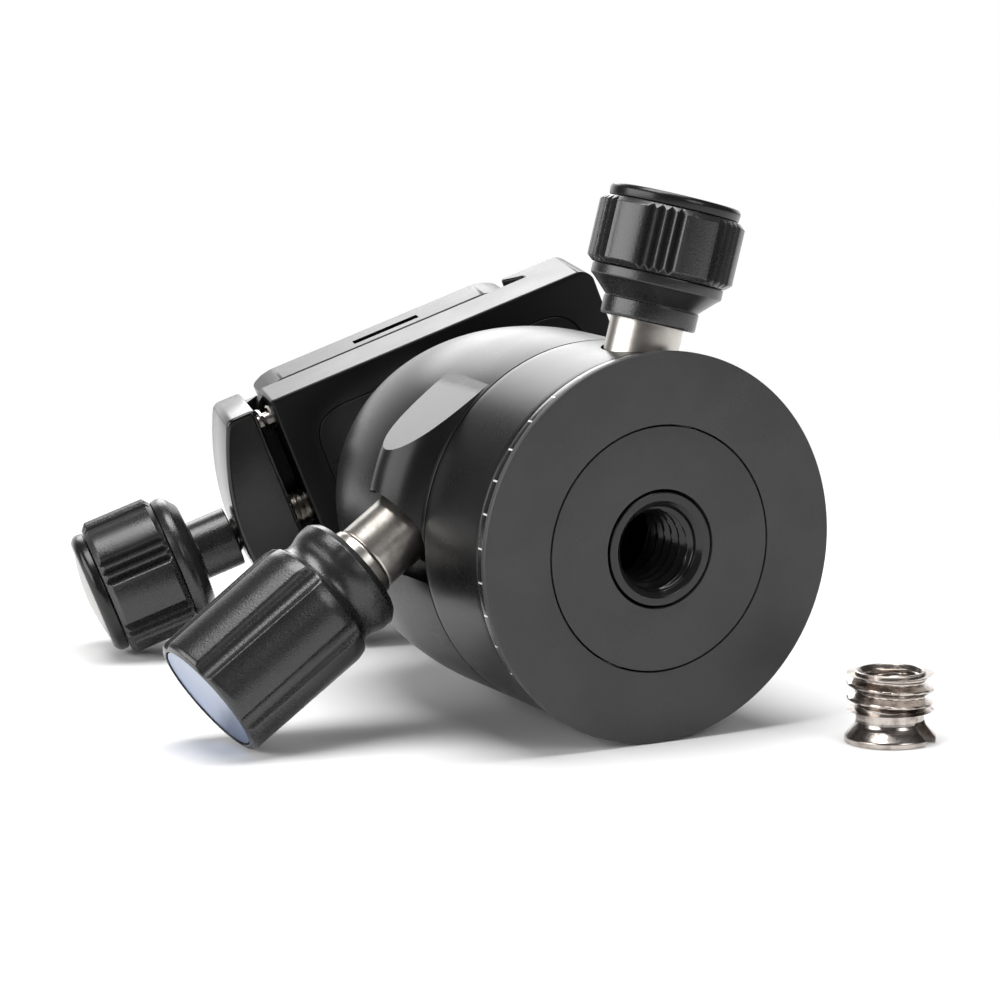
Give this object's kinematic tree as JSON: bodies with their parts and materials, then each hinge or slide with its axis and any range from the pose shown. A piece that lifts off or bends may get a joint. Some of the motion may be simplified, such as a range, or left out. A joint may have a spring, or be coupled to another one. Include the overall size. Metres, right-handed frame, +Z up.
{
  "type": "tripod ball head",
  "caption": "Small black tripod ball head lying on its side, with side lock knobs, a screw clamp holding a dovetail quick release plate, and a loose thread bush.",
  "frame": {"origin": "middle of the bounding box's underside, on the surface the head lies on", "axes": "+Z up; -Y is the side where the tripod face looks, +Y the side of the clamp; +X to the right as seen from -Y"},
  "size_m": [0.0846, 0.103, 0.0607],
  "materials": {
    "black_anodised": "satin black anodised",
    "turned_steel": "turned bright steel",
    "silver_disc": "polished silver",
    "white_nylon": "plain",
    "black_rubber": "matte"
  },
  "bodies": {
    "base": {"base_disc": "black_anodised", "degree_ring": "black_anodised", "pan_spindle": "black_anodised", "thread_insert": "turned_steel", "thrust_washer": "white_nylon", "retaining_plate": "turned_steel", "retaining_screw_1": "turned_steel", "retaining_screw_2": "turned_steel", "retaining_screw_3": "turned_steel"},
    "housing": {"pan_housing": "black_anodised", "main_housing": "black_anodised", "upper_liner": "white_nylon", "ball_cup": "white_nylon", "guide_block": "black_anodised", "joining_screw_1": "turned_steel", "joining_screw_2": "turned_steel", "joining_screw_3": "turned_steel"},
    "ball_lock_knob": {"ball_lock_screw": "turned_steel", "ball_lock_sleeve": "turned_steel", "ball_lock_grip": "black_anodised", "ball_lock_cap": "silver_disc"},
    "wedge": {"lock_wedge": "turned_steel"},
    "pan_lock_knob": {"pan_lock_screw": "turned_steel", "pan_lock_neck": "black_anodised", "pan_lock_grip": "black_anodised", "pan_lock_cap": "black_anodised"},
    "brake_shoe": {"pan_brake_shoe": "white_nylon"},
    "ball": {"ball": "turned_steel"},
    "stem": {"stem": "turned_steel"},
    "clamp": {"clamp_body": "black_anodised", "clamp_fixing_screw": "turned_steel", "guide_pin_1": "turned_steel", "guide_pin_2": "turned_steel", "jaw_spring_1": "turned_steel", "jaw_spring_2": "turned_steel"},
    "jaw": {"movable_jaw": "black_anodised"},
    "clamp_knob": {"clamp_screw": "turned_steel", "clamp_knob_neck": "black_anodised", "clamp_knob_grip": "black_anodised", "clamp_knob_cap": "black_anodised", "clamp_knob_disc": "silver_disc"},
    "plate": {"qr_plate": "black_anodised", "plate_pad_1": "black_rubber", "plate_pad_2": "black_rubber"},
    "camera_screw": {"camera_screw": "turned_steel"},
    "bush": {"thread_bush": "turned_steel"}
  },
  "joints": [
    {"name": "pan", "type": "hinge", "parent": "base", "child": "housing", "pos_m": [0.00604, -0.03533, 0.02151], "axis": [0, 0.9997, 0.0234], "continuous": true},
    {"name": "ball_lock_turn", "type": "hinge", "parent": "housing", "child": "ball_lock_knob", "pos_m": [-0.00129, -0.01427, 0.03226], "axis": [-0.8136, 0.0136, -0.5813], "range_deg": [-540, 0]},
    {"name": "wedge_travel", "type": "slide", "parent": "housing", "child": "wedge", "axis": [-0.8136, 0.0136, -0.5813], "range_m": [-0.0012, 0]},
    {"name": "pan_lock_turn", "type": "hinge", "parent": "housing", "child": "pan_lock_knob", "pos_m": [0.00284, -0.02735, 0.02254], "axis": [0.2554, -0.0226, 0.9666], "range_deg": [-360, 0]},
    {"name": "brake_shoe_travel", "type": "slide", "parent": "housing", "child": "brake_shoe", "axis": [0.2554, -0.0226, 0.9666], "range_m": [-0.00025, 0]},
    {"name": "ball_tilt_side", "type": "hinge", "parent": "housing", "child": "ball", "pos_m": [0.00604, 0.00931, 0.02256], "axis": [0, 0.0234, -0.9997], "range_deg": [-43.6, 12.4]},
    {"name": "ball_tilt_forward", "type": "hinge", "parent": "ball", "child": "stem", "pos_m": [0.00604, 0.00931, 0.02256], "axis": [0.9632, -0.2688, -0.0063], "range_deg": [-16.5, 13.5]},
    {"name": "clamp_turn", "type": "hinge", "parent": "stem", "child": "clamp", "pos_m": [0.00604, 0.00931, 0.02256], "axis": [0.2688, 0.962, 0.0487], "continuous": true},
    {"name": "jaw_slide", "type": "slide", "parent": "clamp", "child": "jaw", "axis": [-0.8948, 0.2681, -0.357], "range_m": [0, 0.004]},
    {"name": "clamp_knob_turn", "type": "hinge", "parent": "jaw", "child": "clamp_knob", "pos_m": [0.01223, 0.03149, 0.02368], "axis": [-0.8948, 0.2681, -0.357], "range_deg": [0, 1440]},
    {"name": "plate_slide", "type": "slide", "parent": "clamp", "child": "plate", "axis": [0.3564, -0.0524, -0.9329], "range_m": [-0.012, 0.012]},
    {"name": "camera_screw_turn", "type": "hinge", "parent": "plate", "child": "camera_screw", "pos_m": [0.0105, 0.02528, 0.02337], "axis": [0.2688, 0.962, 0.0487], "continuous": true},
    {"name": "bush_lift", "type": "slide", "parent": "base", "child": "bush", "axis": [0, 0, 1], "range_m": [0, 0.02]}
  ],
  "couplings": [
    {"joint": "wedge_travel", "follows": "ball_lock_turn", "m_per_rad": 0.00012732},
    {"joint": "brake_shoe_travel", "follows": "pan_lock_turn", "m_per_rad": 0.000039789},
    {"joint": "jaw_slide", "follows": "clamp_knob_turn", "m_per_rad": 0.00015915}
  ]
}
